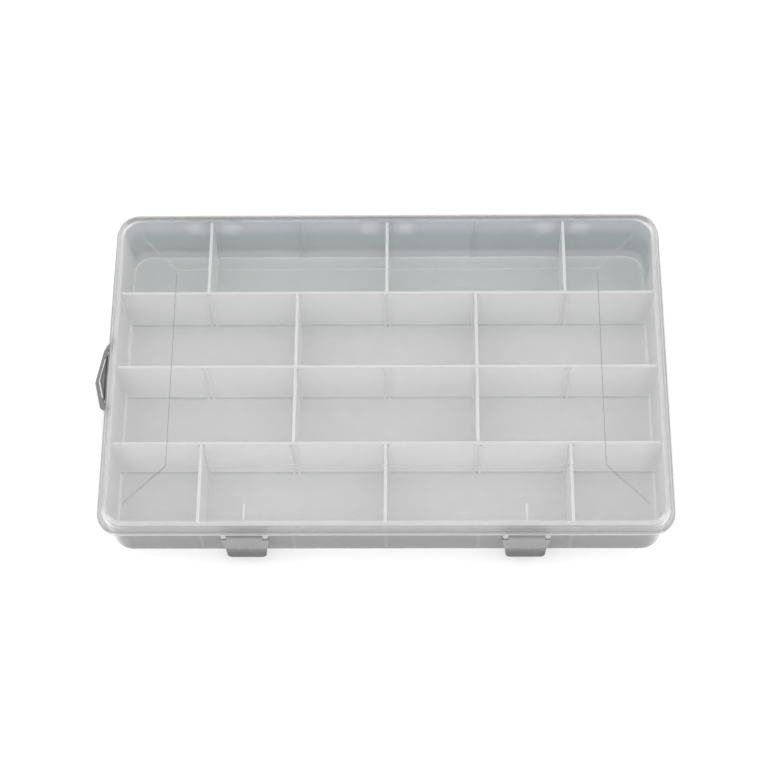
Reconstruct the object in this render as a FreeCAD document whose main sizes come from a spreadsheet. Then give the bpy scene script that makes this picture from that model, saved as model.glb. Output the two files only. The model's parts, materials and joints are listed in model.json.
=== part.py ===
import FreeCAD, Part
import math
import os
import re

import Sketcher

# Compartment tackle box: a moulded tray with three long partitions and ten
# short dividers that lift out, a hinged lid held by two latches, and a
# hanger on the left end.  Millimetres.  The origin is at the centre of the
# underside, +X runs along the long side, +Y to the hinges and +Z up.

DIMENSIONS = [
    ("lip_width", 355, "outside width over the lip of the lid"),
    ("lip_depth", 227, "outside depth over the lip of the lid"),
    ("box_height", 48, "table to the top of the lid"),
    ("lip_proud", 1.2, "how far the lip stands out of the skirt"),
    ("lip_height", 1.5, "height of the lip"),
    ("skirt_bottom", 39.4, "lower edge of the lid"),
    ("skirt_draft", 0.6, "how far the skirt leans in over its height"),
    ("lid_wall", 1.4, "wall of the skirt"),
    ("lid_sheet", 1.3, "thickness of the lid's top"),
    ("lid_corner", 13.5, "plan radius of the lid's corners"),
    ("lid_round", 4, "round along the lid's top edge"),
    ("lid_inner_round", 2.2, "round inside the lid's top edge"),
    ("dish_depth", 0.8, "how far the middle panel sits below the rim of the lid"),
    ("dish_border", 8, "lip of the lid to the start of the dish"),
    ("panel_half_x", 136, "half width of the middle panel"),
    ("panel_half_y", 69.6, "half depth of the middle panel"),
    ("crease", 0.5, "width of the creases round the panel"),
    ("crease_deep", 0.3, "depth of those creases"),
    ("mitre_long", 34, "length of the crease from a corner of the panel"),
    ("tray_half_x", 173.8, "outside half width of the tray at its rim"),
    ("tray_half_y", 108.4, "outside half depth of the tray at its rim"),
    ("tray_wall", 1.6, "wall of the tray"),
    ("tray_draft", 1.85, "how far the walls lean out from table to rim"),
    ("tray_corner", 13, "plan radius of the tray's corners"),
    ("tray_round", 3, "round under the tray"),
    ("tray_inner_round", 1.5, "round between floor and walls"),
    ("rim_top", 45.4, "top of the tray's walls"),
    ("floor_top", 2.15, "top of the floor"),
    ("flange_proud", 0.9, "how far the rim flange stands out at front and back"),
    ("flange_side", 0.5, "how far the rim flange stands out at the ends"),
    ("flange_height", 1.6, "height of the rim flange"),
    ("row_pitch", 53.45, "distance between long partitions"),
    ("grid_pitch", 57.4, "distance between divider positions"),
    ("partition", 1.6, "thickness of a long partition"),
    ("partition_top", 45.2, "top of the long partitions"),
    ("foot_round", 1.8, "round at the foot of a partition"),
    ("rib", 1.1, "thickness of a guide rib"),
    ("rib_out", 1.1, "how far a guide rib stands out"),
    ("rib_top", 44, "top of the guide ribs"),
    ("divider", 1.8, "thickness of a short divider"),
    ("divider_top", 44.9, "top of the short dividers"),
    ("divider_gap", 0.2, "gap round a short divider"),
    ("divider_cut", 2.6, "corner cut at the foot of a short divider"),
    ("hinge_y", 112, "hinge axis, distance behind the centre"),
    ("hinge_z", 36, "hinge axis, height"),
    ("hinge_barrel", 2.8, "outside radius of a hinge knuckle"),
    ("hinge_width", 36, "width of one hinge"),
    ("hinge_end", 9, "width of a tray knuckle"),
    ("hinge_gap", 0.4, "gap between knuckles"),
    ("pin_radius", 1, "radius of a hinge pin"),
    ("pin_fit", 0.05, "radial clearance of a pin where a part turns on it"),
    ("pin_seat", 0.02, "radial clearance of a pin where it is held"),
    ("pin_chamfer", 0.2, "broken edge at the ends of a pin"),
    ("gusset", 1.4, "thickness of the gusset under a knuckle"),
    ("latch_x", 86.5, "latch, distance from the centre"),
    ("latch_y", 112.6, "latch axis, distance in front of the centre"),
    ("latch_z", 37, "latch axis, height"),
    ("latch_barrel", 1.7, "radius of the latch barrel"),
    ("latch_span", 22, "width of the latch barrel"),
    ("latch_width", 29.6, "width of the latch at its shoulders"),
    ("latch_tip", 23.8, "width of the latch at its finger lip"),
    ("latch_ear", 3, "thickness of an ear that holds the latch"),
    ("latch_pin", 0.8, "radius of a latch pin"),
    ("latch_face", 1.5, "latch axis to the outer face of the latch"),
    ("latch_sheet", 1.9, "thickness of the latch"),
    ("latch_shoulder", 33.6, "top of the latch's shoulders"),
    ("latch_waist", 18, "height where the latch starts to flare out"),
    ("latch_foot", 10, "lowest point of the latch"),
    ("latch_lean", 0.9, "how far the latch leans in down to its waist"),
    ("latch_flare", 2.2, "how far its finger lip flares out"),
    ("latch_corner", 3, "round at the corners of the finger lip"),
    ("catch_reach", 109.4, "how far forward the catch reaches"),
    ("catch_bottom", 23, "underside of the catch"),
    ("catch_width", 18, "width of the catch"),
    ("hook_gap", 0.15, "gap between hook and catch"),
    ("hook_drop", 1, "gap between the top of the hook and the catch"),
    ("hook_height", 3, "height of the hook"),
    ("hook_width", 16, "width of the hook"),
    ("thumb_flat", 0.45, "depth of the flat on the lid's edge over a latch"),
    ("lid_rib", 1.2, "thickness of the short ribs under the lid"),
    ("lid_rib_front", 105.6, "front end of those ribs"),
    ("lid_rib_long", 10, "length of those ribs"),
    ("lid_rib_bottom", 44.4, "underside of those ribs"),
    ("hanger_x", 175.9, "hanger axis, distance left of the centre"),
    ("hanger_z", 33, "hanger axis, height"),
    ("hanger_eye", 2, "radius of the hanger's eyes and lugs"),
    ("hanger_half", 24, "hanger axis centre to the outside of an eye"),
    ("hanger_sheet", 2.2, "thickness of the hanger"),
    ("hanger_point", 15.6, "hanger axis to the point of the chevron"),
    ("hanger_neck", 4.2, "hanger axis to the end of its straight leg"),
    ("hanger_elbow", 8.4, "hanger axis to the elbow of the chevron"),
    ("hanger_elbow_half", 20.5, "centre to the elbow, along the hanger axis"),
    ("hanger_leg", 3, "width of a leg and its eye"),
    ("hanger_inner_neck", 0.9, "hanger axis to the inside end of its straight leg"),
    ("hanger_inner_elbow", 4.65, "hanger axis to the inside of the elbow"),
    ("hanger_inner_half", 17.9, "centre to the inside of the elbow"),
    ("hanger_inner_point", 6, "hanger axis to the inside of the point"),
    ("hanger_rim", 3.4, "outside of the hanger to its groove"),
    ("hanger_groove", 1.4, "width of the groove that follows the chevron"),
    ("hanger_groove_half", 14, "centre to the end of the groove"),
    ("hanger_groove_depth", 0.6, "depth of the groove"),
    ("hanger_tilt", 45, "degrees that the hanger hangs below straight out"),
    ("hanger_pin", 0.8, "radius of a hanger pin"),
    ("lug", 3, "thickness of a hanger lug"),
]

doc = FreeCAD.newDocument("tackle_box")
sheet = doc.addObject("Spreadsheet::Sheet", "Dims")
for row, (alias, number, meaning) in enumerate(DIMENSIONS, start=1):
    sheet.set(f"A{row}", alias)
    sheet.set(f"B{row}", str(number))
    sheet.set(f"C{row}", meaning)
    sheet.setAlias(f"B{row}", alias)
doc.recompute()


ALIASES = {entry[0] for entry in DIMENSIONS}
vector = FreeCAD.Vector
nodes = []


def cell(text):
    """An expression in which each dimension's name is led by the sheet's name."""
    return re.sub("[a-z_]+", lambda word: ("Dims." if word[0] in ALIASES else "") + word[0], text)


def value(text):
    """The present value of an expression."""
    return float(sheet.evalExpression(cell(text)))


def new_body(label):
    """A sub-part.  Its label names its node."""
    body = doc.addObject("PartDesign::Body", label)
    body.Label = label
    nodes.append(body)
    return body


def origin(body, role):
    """One of the body's own origin planes or axes."""
    return next(item for item in body.Origin.OriginFeatures if item.Role == role)


def sketch_on(body, name, role, offset, outlines):
    """A sketch on an origin plane, moved along its normal by the offset expression.

    An outline is a closed list of corners, each a pair of expressions.  A corner with
    two more expressions and a turn of +1 (anticlockwise) or -1 starts an arc about them.
    """
    sketch = body.newObject("Sketcher::SketchObject", name)
    sketch.AttachmentSupport = [(origin(body, role), "")]
    sketch.MapMode = "FlatFace"
    sketch.setExpression("AttachmentOffset.Base.z", cell(offset))
    for outline in outlines:
        draw(sketch, outline)
    return constrained(sketch) if outlines else sketch


def constrained(sketch):
    """Stop unless nothing in the sketch is left free."""
    if not sketch.FullyConstrained:
        raise ValueError(f"{sketch.Name} is not fully constrained")
    return sketch


def draw(sketch, outline):
    """Add one closed outline, with every corner bound to its expressions."""
    points = [vector(value(corner[0]), value(corner[1]), 0) for corner in outline]
    first = sketch.GeometryCount
    count = len(outline)
    ends = []
    for index, corner in enumerate(outline):
        start = points[index]
        end = points[(index + 1) % count]
        if len(corner) == 2:
            sketch.addGeometry(Part.LineSegment(start, end))
            ends.append((1, 2))
            continue
        centre = vector(value(corner[2]), value(corner[3]), 0)
        circle = Part.Circle(centre, vector(0, 0, 1), start.distanceToPoint(centre))
        low, high = (start, end) if corner[4] > 0 else (end, start)
        low_turn = circle.parameter(low)
        high_turn = circle.parameter(high)
        sketch.addGeometry(Part.ArcOfCircle(circle, low_turn, high_turn))
        ends.append((1, 2) if corner[4] > 0 else (2, 1))
    for index, corner in enumerate(outline):
        edge = first + index
        following = first + (index + 1) % count
        next_end = ends[(index + 1) % count][0]
        join = Sketcher.Constraint("Coincident", edge, ends[index][1], following, next_end)
        sketch.addConstraint(join)
        bind(sketch, "DistanceX", edge, ends[index][0], points[index].x, corner[0])
        bind(sketch, "DistanceY", edge, ends[index][0], points[index].y, corner[1])
        if len(corner) > 2:
            chord = points[(index + 1) % count] - points[index]
            along = "DistanceX" if abs(chord.y) > abs(chord.x) else "DistanceY"
            text = corner[2] if along == "DistanceX" else corner[3]
            bind(sketch, along, edge, 3, value(text), text)


def bind(sketch, kind, edge, point, number, text):
    """Fix one coordinate of a point, measured from the sketch's origin."""
    index = sketch.addConstraint(Sketcher.Constraint(kind, -1, 1, edge, point, number))
    sketch.setExpression(f"Constraints[{index}]", cell(text))


def circle_sketch(body, name, role, offset, across, up, radius):
    """A sketch of one circle."""
    sketch = sketch_on(body, name, role, offset, [])
    centre = vector(value(across), value(up), 0)
    sketch.addGeometry(Part.Circle(centre, vector(0, 0, 1), value(radius)))
    bind(sketch, "DistanceX", 0, 3, centre.x, across)
    bind(sketch, "DistanceY", 0, 3, centre.y, up)
    index = sketch.addConstraint(Sketcher.Constraint("Radius", 0, value(radius)))
    sketch.setExpression(f"Constraints[{index}]", cell(radius))
    return constrained(sketch)


def box_outline(half_x, half_y):
    """A rectangle centred on the origin."""
    return [
        (f"-({half_x})", f"-({half_y})"),
        (half_x, f"-({half_y})"),
        (half_x, half_y),
        (f"-({half_x})", half_y),
    ]


def rounded(half_x, half_y, radius):
    """A rectangle centred on the origin, with round corners."""
    flat_x = f"({half_x} - ({radius}))"
    flat_y = f"({half_y} - ({radius}))"
    return [
        (f"-{flat_x}", f"-({half_y})"),
        (flat_x, f"-({half_y})", flat_x, f"-{flat_y}", 1),
        (half_x, f"-{flat_y}"),
        (half_x, flat_y, flat_x, flat_y, 1),
        (flat_x, half_y),
        (f"-{flat_x}", half_y, f"-{flat_x}", flat_y, 1),
        (f"-({half_x})", flat_y),
        (f"-({half_x})", f"-{flat_y}", f"-{flat_x}", f"-{flat_y}", 1),
    ]


def volume(body):
    """The volume of a body as it stands."""
    doc.recompute()
    return body.Shape.Volume


def grown(body, feature, before):
    """Stop unless the feature added to the body."""
    if volume(body) <= before:
        raise ValueError(f"{feature.Name} added nothing")
    return feature


def carved(body, feature, before):
    """Stop unless the feature cut the body."""
    if volume(body) >= before:
        raise ValueError(f"{feature.Name} cut nothing")
    return feature


def pad(body, name, sketch, length, symmetric=False):
    """Pad a sketch along its normal, or half each way."""
    before = volume(body) if body.Tip else 0
    feature = body.newObject("PartDesign::Pad", name)
    feature.Profile = sketch
    feature.SideType = "Symmetric" if symmetric else "One side"
    feature.setExpression("Length", cell(length))
    return grown(body, feature, before)


def pocket(body, name, sketch, length="", side="Symmetric"):
    """Cut a sketch half each way, or along its normal with side "One side"."""
    before = volume(body)
    feature = body.newObject("PartDesign::Pocket", name)
    feature.Profile = sketch
    feature.SideType = side
    feature.Reversed = side == "One side"
    if length:
        feature.setExpression("Length", cell(length))
    else:
        feature.Type = "ThroughAll"
    return carved(body, feature, before)


def loft(body, name, low, high, cut=False):
    """A straight-sided loft between two sketches."""
    before = volume(body) if body.Tip else 0
    kind = "PartDesign::SubtractiveLoft" if cut else "PartDesign::AdditiveLoft"
    feature = body.newObject(kind, name)
    feature.Profile = low
    feature.Sections = [high]
    feature.Ruled = True
    return carved(body, feature, before) if cut else grown(body, feature, before)


def fillet(body, name, radius, low, high, chosen=lambda edge: True):
    """Round the edges that run from height low to height high."""
    base = body.Tip
    span = (value(low), value(high))
    names = []
    for number, edge in enumerate(base.Shape.Edges, start=1):
        heights = sorted(vertex.Z for vertex in edge.Vertexes)
        fits = abs(heights[0] - span[0]) < 0.01 and abs(heights[-1] - span[1]) < 0.01
        if fits and chosen(edge):
            names.append(f"Edge{number}")
    feature = body.newObject("PartDesign::Fillet", name)
    feature.Base = (base, names)
    feature.setExpression("Radius", cell(radius))
    doc.recompute()
    return feature


def draft(body, name, low, high, over, rise, reverse):
    """Lean the upright faces between two heights about the outline at the lower one."""
    base = body.Tip
    bottom = value(low)
    top = value(high)
    sides = []
    level = []
    for number, face in enumerate(base.Shape.Faces, start=1):
        heights = sorted(vertex.Z for vertex in face.Vertexes)
        if abs(heights[0] - bottom) > 0.01:
            continue
        if abs(heights[-1] - top) < 0.01:
            sides.append(f"Face{number}")
        elif abs(heights[-1] - bottom) < 0.01:
            level.append(f"Face{number}")
    feature = body.newObject("PartDesign::Draft", name)
    feature.Base = (base, sides)
    feature.NeutralPlane = (base, level[:1])
    feature.Reversed = reverse
    feature.setExpression("Angle", cell(f"atan({over} / ({rise}))"))
    doc.recompute()
    return feature


def repeat(body, name, features, *steps):
    """Repeat features in straight rows: each step is an axis, a length and a count."""
    before = volume(body)
    rows = []
    for number, (axis, length, count) in enumerate(steps):
        row = body.newObject("PartDesign::LinearPattern", f"{name}_{number}")
        row.Direction = (origin(body, axis), [""])
        row.setExpression("Length", cell(length))
        row.Occurrences = count
        rows.append(row)
    if len(rows) == 1:
        feature = rows[0]
        feature.Originals = features
    else:
        feature = body.newObject("PartDesign::MultiTransform", name)
        feature.Originals = features
        feature.Transformations = rows
    body.Tip = feature
    if volume(body) == before:
        raise ValueError(f"{name} changed nothing")
    return feature


def place(body, across="0", back="0", up="0"):
    """Bind a body's position to three expressions."""
    body.setExpression("Placement.Base.x", cell(across))
    body.setExpression("Placement.Base.y", cell(back))
    body.setExpression("Placement.Base.z", cell(up))


def lean(half, height):
    """Outside half size of the drafted tray wall at a height."""
    return f"({half} - tray_draft * (1 - ({height}) / rim_top))"


def inside(half, height):
    """Inside half size of the tray wall at a height."""
    return f"({lean(half, height)} - tray_wall)"


def build_tray():
    """The tray, moulded in one piece with its partitions, ribs and lugs."""
    tray = new_body("base_tray")
    tray_shell(tray)
    tray_partitions(tray)
    tray_guides(tray)
    tray_hinges(tray)
    tray_catches(tray)
    tray_lugs(tray)


def tray_shell(tray):
    """Drafted walls, floor and the flange round the rim."""
    foot = rounded("(tray_half_x - tray_draft)", "(tray_half_y - tray_draft)", "tray_corner")
    sketch = sketch_on(tray, "outside_sketch", "XY_Plane", "0", [foot])
    pad(tray, "outside", sketch, "rim_top")
    draft(tray, "outside_draft", "0", "rim_top", "tray_draft", "rim_top", True)
    fillet(tray, "outside_foot", "tray_round", "0", "0")
    rim = rounded("(tray_half_x + flange_side)", "(tray_half_y + flange_proud)", "tray_corner")
    sketch = sketch_on(tray, "flange_sketch", "XY_Plane", "rim_top - flange_height", [rim])
    pad(tray, "flange", sketch, "flange_height")
    floor = rounded(inside("tray_half_x", "floor_top"), inside("tray_half_y", "floor_top"),
                    "tray_corner - tray_wall")
    sketch = sketch_on(tray, "inside_sketch", "XY_Plane", "floor_top", [floor])
    pocket(tray, "inside", sketch, "rim_top", "One side")
    draft(tray, "inside_draft", "floor_top", "rim_top", "tray_draft", "rim_top", False)
    fillet(tray, "inside_foot", "tray_inner_round", "floor_top", "floor_top")


def tray_partitions(tray):
    """Three long partitions with rounded feet."""
    middle = "tray_wall / 2"
    low = f"({inside('tray_half_x', 'floor_top')} + {middle})"
    high = f"({inside('tray_half_x', 'partition_top')} + {middle})"
    plate = [
        (f"-{low}", "floor_top"),
        (low, "floor_top"),
        (high, "partition_top"),
        (f"-{high}", "partition_top"),
    ]
    sketch = sketch_on(tray, "partition_sketch", "XZ_Plane", "row_pitch", [plate])
    wall = pad(tray, "partition_wall", sketch, "partition", symmetric=True)
    face = "row_pitch - partition / 2"
    far = "row_pitch + partition / 2"
    foot = "floor_top - tray_inner_round / 2"
    rise = "floor_top + foot_round"
    flare = [
        (f"-({far} + foot_round)", foot),
        (f"-({face} - foot_round)", foot),
        (f"-({face} - foot_round)", "floor_top", f"-({face} - foot_round)", rise, -1),
        (f"-({face})", rise),
        (f"-({far})", rise, f"-({far} + foot_round)", rise, -1),
        (f"-({far} + foot_round)", "floor_top"),
    ]
    sketch = sketch_on(tray, "flare_sketch", "YZ_Plane", "0", [flare])
    flared = pad(tray, "partition_foot", sketch, f"2 * {low}", symmetric=True)
    repeat(tray, "partitions", [wall, flared], ("Y_Axis", "2 * row_pitch", 3))


def tray_guides(tray):
    """Pairs of guide ribs at every divider position, on walls and partitions."""
    first = "-2 * grid_pitch - divider / 2 - divider_gap - rib"
    across = ("X_Axis", "4 * grid_pitch", 5)
    pair = ("X_Axis", "divider + 2 * divider_gap + rib", 2)
    foot = "floor_top - tray_inner_round / 2"
    half = "(partition / 2 + rib_out)"
    on_partition = [
        (f"-row_pitch - {half}", foot),
        (f"-row_pitch + {half}", foot),
        (f"-row_pitch + {half}", "rib_top"),
        (f"-row_pitch - {half}", "rib_top"),
    ]
    sketch = sketch_on(tray, "partition_rib_sketch", "YZ_Plane", first, [on_partition])
    feature = pad(tray, "partition_rib", sketch, "rib")
    repeat(tray, "partition_ribs", [feature], across, pair, ("Y_Axis", "2 * row_pitch", 3))
    low = inside("tray_half_y", "floor_top")
    high = inside("tray_half_y", "rib_top")
    outlines = []
    for side in ("-", ""):
        outline = [
            (f"{side}({low} - rib_out)", foot),
            (f"{side}({low} + tray_wall / 2)", foot),
            (f"{side}({high} + tray_wall / 2)", "rib_top"),
            (f"{side}({high} - rib_out)", "rib_top"),
        ]
        outlines.append(outline)
    sketch = sketch_on(tray, "wall_rib_sketch", "YZ_Plane", first, outlines)
    feature = pad(tray, "wall_rib", sketch, "rib")
    repeat(tray, "wall_ribs", [feature], across, pair)


def tray_hinges(tray):
    """Two knuckles with gussets for each of the three hinges."""
    root = f"{inside('tray_half_y', 'hinge_z')} + tray_wall / 2"
    knuckle = [
        (root, "hinge_z - hinge_barrel"),
        ("hinge_y", "hinge_z - hinge_barrel", "hinge_y", "hinge_z", 1),
        ("hinge_y", "hinge_z + hinge_barrel"),
        (root, "hinge_z + hinge_barrel"),
    ]
    across = ("X_Axis", "4 * grid_pitch", 3)
    pair = ("X_Axis", "hinge_width - hinge_end", 2)
    start = "-2 * grid_pitch - hinge_width / 2"
    sketch = sketch_on(tray, "knuckle_sketch", "YZ_Plane", start, [knuckle])
    feature = pad(tray, "knuckle", sketch, "hinge_end")
    repeat(tray, "knuckles", [feature], across, pair)
    gusset = [
        (root, "hinge_z - 3.2 * hinge_barrel"),
        (f"{root} + hinge_barrel / 4", "hinge_z - 3.2 * hinge_barrel"),
        ("hinge_y - hinge_barrel / 2", "hinge_z - hinge_barrel / 2"),
        (root, "hinge_z - hinge_barrel / 2"),
    ]
    start = "-2 * grid_pitch - hinge_width / 2 + hinge_end / 2 - gusset / 2"
    sketch = sketch_on(tray, "gusset_sketch", "YZ_Plane", start, [gusset])
    feature = pad(tray, "gusset", sketch, "gusset")
    repeat(tray, "gussets", [feature], across, pair)
    bore = circle_sketch(tray, "hinge_bore_sketch", "YZ_Plane", "0", "hinge_y", "hinge_z",
                         "pin_radius + pin_seat")
    pocket(tray, "hinge_bore", bore)


def tray_catches(tray):
    """A catch on the front wall for each latch."""
    root = f"-({inside('tray_half_y', 'catch_bottom')} + tray_wall / 2)"
    catch = [
        (root, "catch_bottom"),
        (root, "catch_bottom + 7"),
        ("-catch_reach", "catch_bottom + 1.5"),
        ("-catch_reach", "catch_bottom"),
    ]
    sketch = sketch_on(tray, "catch_sketch", "YZ_Plane", "-latch_x - catch_width / 2", [catch])
    feature = pad(tray, "catch", sketch, "catch_width")
    repeat(tray, "catches", [feature], ("X_Axis", "2 * latch_x", 2))


def tray_lugs(tray):
    """Two lugs on the left wall that carry the hanger."""
    root = f"-({inside('tray_half_x', 'hanger_z')} + tray_wall / 2)"
    lug = [
        (root, "hanger_z + hanger_eye"),
        ("-hanger_x", "hanger_z + hanger_eye", "-hanger_x", "hanger_z", 1),
        ("-hanger_x", "hanger_z - hanger_eye"),
        (root, "hanger_z - 3 * hanger_eye"),
    ]
    sketch = sketch_on(tray, "lug_sketch", "XZ_Plane", "hanger_half + hinge_gap", [lug])
    feature = pad(tray, "lug_block", sketch, "lug")
    repeat(tray, "lugs", [feature], ("Y_Axis", "2 * (hanger_half + hinge_gap) + lug", 2))
    bore = circle_sketch(tray, "lug_bore_sketch", "XZ_Plane", "0", "-hanger_x", "hanger_z",
                         "hanger_pin + pin_seat")
    pocket(tray, "lug_bore", bore)


def build_lid():
    """The lid, moulded in one piece."""
    lid = new_body("lid")
    lid_shell(lid)
    lid_dish(lid)
    lid_mitres(lid)
    lid_hinges(lid)
    lid_latch_seats(lid)


def lid_shell(lid):
    """Skirt, lip and top, hollowed out."""
    half_x = "(lip_width / 2 - lip_proud)"
    half_y = "(lip_depth / 2 - lip_proud)"
    lip_top = "skirt_bottom + lip_height"
    under = "box_height - lid_sheet"
    rise = "box_height - skirt_bottom"
    outside = rounded(half_x, half_y, "lid_corner")
    sketch = sketch_on(lid, "outside_sketch", "XY_Plane", "skirt_bottom", [outside])
    pad(lid, "outside", sketch, rise)
    draft(lid, "outside_draft", "skirt_bottom", "box_height", "skirt_draft", rise, False)
    fillet(lid, "outside_round", "lid_round", "box_height", "box_height")
    lip = rounded("lip_width / 2", "lip_depth / 2", "lid_corner + lip_proud")
    sketch = sketch_on(lid, "lip_sketch", "XY_Plane", "skirt_bottom", [lip])
    pad(lid, "lip", sketch, "lip_height")
    fillet(lid, "lip_under", "lip_proud / 3", "skirt_bottom", "skirt_bottom")
    fillet(lid, "lip_over", "lip_proud / 3", lip_top, lip_top, outside_of_skirt)
    hollow = rounded(f"({half_x} - lid_wall)", f"({half_y} - lid_wall)", "lid_corner - lid_wall")
    sketch = sketch_on(lid, "inside_sketch", "XY_Plane", "skirt_bottom", [hollow])
    pocket(lid, "inside", sketch, f"{under} - skirt_bottom", "One side")
    draft(lid, "inside_draft", "skirt_bottom", under, "skirt_draft", rise, False)
    fillet(lid, "inside_round", "lid_inner_round", under, under)


def outside_of_skirt(edge):
    """Whether an edge lies on the lip's own outline, clear of the skirt."""
    skirt_x = value("lip_width / 2 - lip_proud / 2")
    skirt_y = value("lip_depth / 2 - lip_proud / 2")
    point = edge.valueAt((edge.FirstParameter + edge.LastParameter) / 2)
    if abs(point.x) > skirt_x or abs(point.y) > skirt_y:
        return True
    corner = value("lid_corner + lip_proud")
    across = abs(point.x) - value("lip_width / 2") + corner
    back = abs(point.y) - value("lip_depth / 2") + corner
    reach = corner - value("lip_proud") / 2
    return across > 0 and back > 0 and across ** 2 + back ** 2 > reach ** 2


def lid_dish(lid):
    """The top slopes gently in from its edges to a flat panel, with mitred corners."""
    border_x = "lip_width / 2 - dish_border - lip_proud"
    border_y = "lip_depth / 2 - dish_border - lip_proud"
    panel = box_outline("panel_half_x", "panel_half_y")
    under = "box_height - lid_sheet"
    high = sketch_on(lid, "dish_high", "XY_Plane", "box_height",
                     [box_outline(border_x, border_y)])
    low = sketch_on(lid, "dish_low", "XY_Plane", "box_height - dish_depth", [panel])
    loft(lid, "dish", low, high, cut=True)
    high = sketch_on(lid, "belly_high", "XY_Plane", under, [box_outline(border_x, border_y)])
    low = sketch_on(lid, "belly_low", "XY_Plane", f"{under} - dish_depth", [panel])
    loft(lid, "belly", low, high)
    ring = [
        box_outline("panel_half_x + crease / 2", "panel_half_y + crease / 2"),
        box_outline("panel_half_x - crease / 2", "panel_half_y - crease / 2"),
    ]
    sketch = sketch_on(lid, "crease_sketch", "XY_Plane", "box_height - dish_depth", ring)
    pocket(lid, "panel_crease", sketch, "2 * crease_deep")


def lid_hinges(lid):
    """One knuckle for each of the three hinges."""
    inner = "lip_depth / 2 - lip_proud - lid_wall"
    outer = "lip_depth / 2"
    top = "skirt_bottom + lip_height / 2"
    inner_z = f"hinge_z + sqrt(hinge_barrel ^ 2 - (hinge_y - ({inner})) ^ 2)"
    outer_z = f"hinge_z + sqrt(hinge_barrel ^ 2 - ({outer} - hinge_y) ^ 2)"
    knuckle = [
        (inner, top),
        (inner, inner_z, "hinge_y", "hinge_z", 1),
        (outer, outer_z),
        (outer, top),
    ]
    sketch = sketch_on(lid, "knuckle_sketch", "YZ_Plane", "-2 * grid_pitch", [knuckle])
    width = "hinge_width - 2 * (hinge_end + hinge_gap)"
    feature = pad(lid, "knuckle", sketch, width, symmetric=True)
    repeat(lid, "knuckles", [feature], ("X_Axis", "4 * grid_pitch", 3))
    bore = circle_sketch(lid, "hinge_bore_sketch", "YZ_Plane", "0", "hinge_y", "hinge_z",
                         "pin_radius + pin_fit")
    pocket(lid, "hinge_bore", bore)


def lid_latch_seats(lid):
    """Ears, a flat on the edge and a short rib over each latch."""
    inner = "-(latch_y - latch_barrel)"
    outer = "-(latch_y + latch_barrel)"
    top = "skirt_bottom + lip_height / 2"
    ear = [
        (inner, top),
        (inner, "latch_z", "-latch_y", "latch_z", -1),
        (outer, "latch_z"),
        (outer, "latch_z + latch_barrel / 2"),
        ("-lip_depth / 2", "skirt_bottom + lip_proud / 3"),
        ("-lip_depth / 2", top),
    ]
    two = ("X_Axis", "2 * latch_x", 2)
    start = "-latch_x - latch_span / 2 - hinge_gap - latch_ear"
    sketch = sketch_on(lid, "ear_sketch", "YZ_Plane", start, [ear])
    feature = pad(lid, "ear", sketch, "latch_ear")
    repeat(lid, "ears", [feature], two, ("X_Axis", "latch_span + 2 * hinge_gap + latch_ear", 2))
    bore = circle_sketch(lid, "latch_bore_sketch", "YZ_Plane", "0", "-latch_y", "latch_z",
                         "latch_pin + pin_seat")
    pocket(lid, "latch_bore", bore)
    rib = [
        ("-lid_rib_front", "lid_rib_bottom"),
        ("-lid_rib_front + lid_rib_long", "lid_rib_bottom"),
        ("-lid_rib_front + lid_rib_long", "box_height - 3 / 4 * lid_sheet"),
        ("-lid_rib_front", "box_height - 3 / 4 * lid_sheet"),
    ]
    sketch = sketch_on(lid, "rib_sketch", "YZ_Plane", "-latch_x - lid_rib / 2", [rib])
    feature = pad(lid, "rib", sketch, "lid_rib")
    repeat(lid, "ribs", [feature], two)
    back = "-(lip_depth / 2 - lip_proud - skirt_draft - lid_round)"
    reach = "(lid_round - thumb_flat) * sqrt(2)"
    chip = [
        (f"{back} - {reach}", "box_height - lid_round"),
        (back, f"box_height - lid_round + {reach}"),
        (f"{back} - {reach}", f"box_height - lid_round + {reach}"),
    ]
    sketch = sketch_on(lid, "thumb_sketch", "YZ_Plane", "-latch_x", [chip])
    feature = pocket(lid, "thumb_cut", sketch, "latch_width")
    repeat(lid, "thumb_flats", [feature], two)


def lid_mitres(lid):
    """A fine crease from each corner of the panel towards the corner of the lid."""
    panel = vector(value("panel_half_x"), value("panel_half_y"), 0)
    border_x = value("lip_width / 2 - dish_border - lip_proud")
    border_y = value("lip_depth / 2 - dish_border - lip_proud")
    run = vector(border_x, border_y, value("dish_depth")) - panel
    slope = math.degrees(math.atan2(run.z, math.hypot(run.x, run.y)))
    for number, (side_x, side_y) in enumerate(((1, 1), (-1, 1), (-1, -1), (1, -1))):
        before = volume(lid)
        turn = math.degrees(math.atan2(side_y * run.y, side_x * run.x))
        spin = FreeCAD.Rotation(vector(0, 0, 1), turn)
        pitch = FreeCAD.Rotation(vector(0, 1, 0), -slope)
        start = vector(side_x * panel.x, side_y * panel.y, value("box_height - dish_depth"))
        offset = vector(0, -value("crease") / 2, -value("crease_deep"))
        groove = lid.newObject("PartDesign::SubtractiveBox", f"mitre_{number}")
        groove.setExpression("Length", cell("mitre_long"))
        groove.setExpression("Width", cell("crease"))
        groove.setExpression("Height", cell("4 * crease_deep"))
        rotation = spin.multiply(pitch)
        groove.Placement = FreeCAD.Placement(start + rotation.multVec(offset), rotation)
        carved(lid, groove, before)


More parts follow.
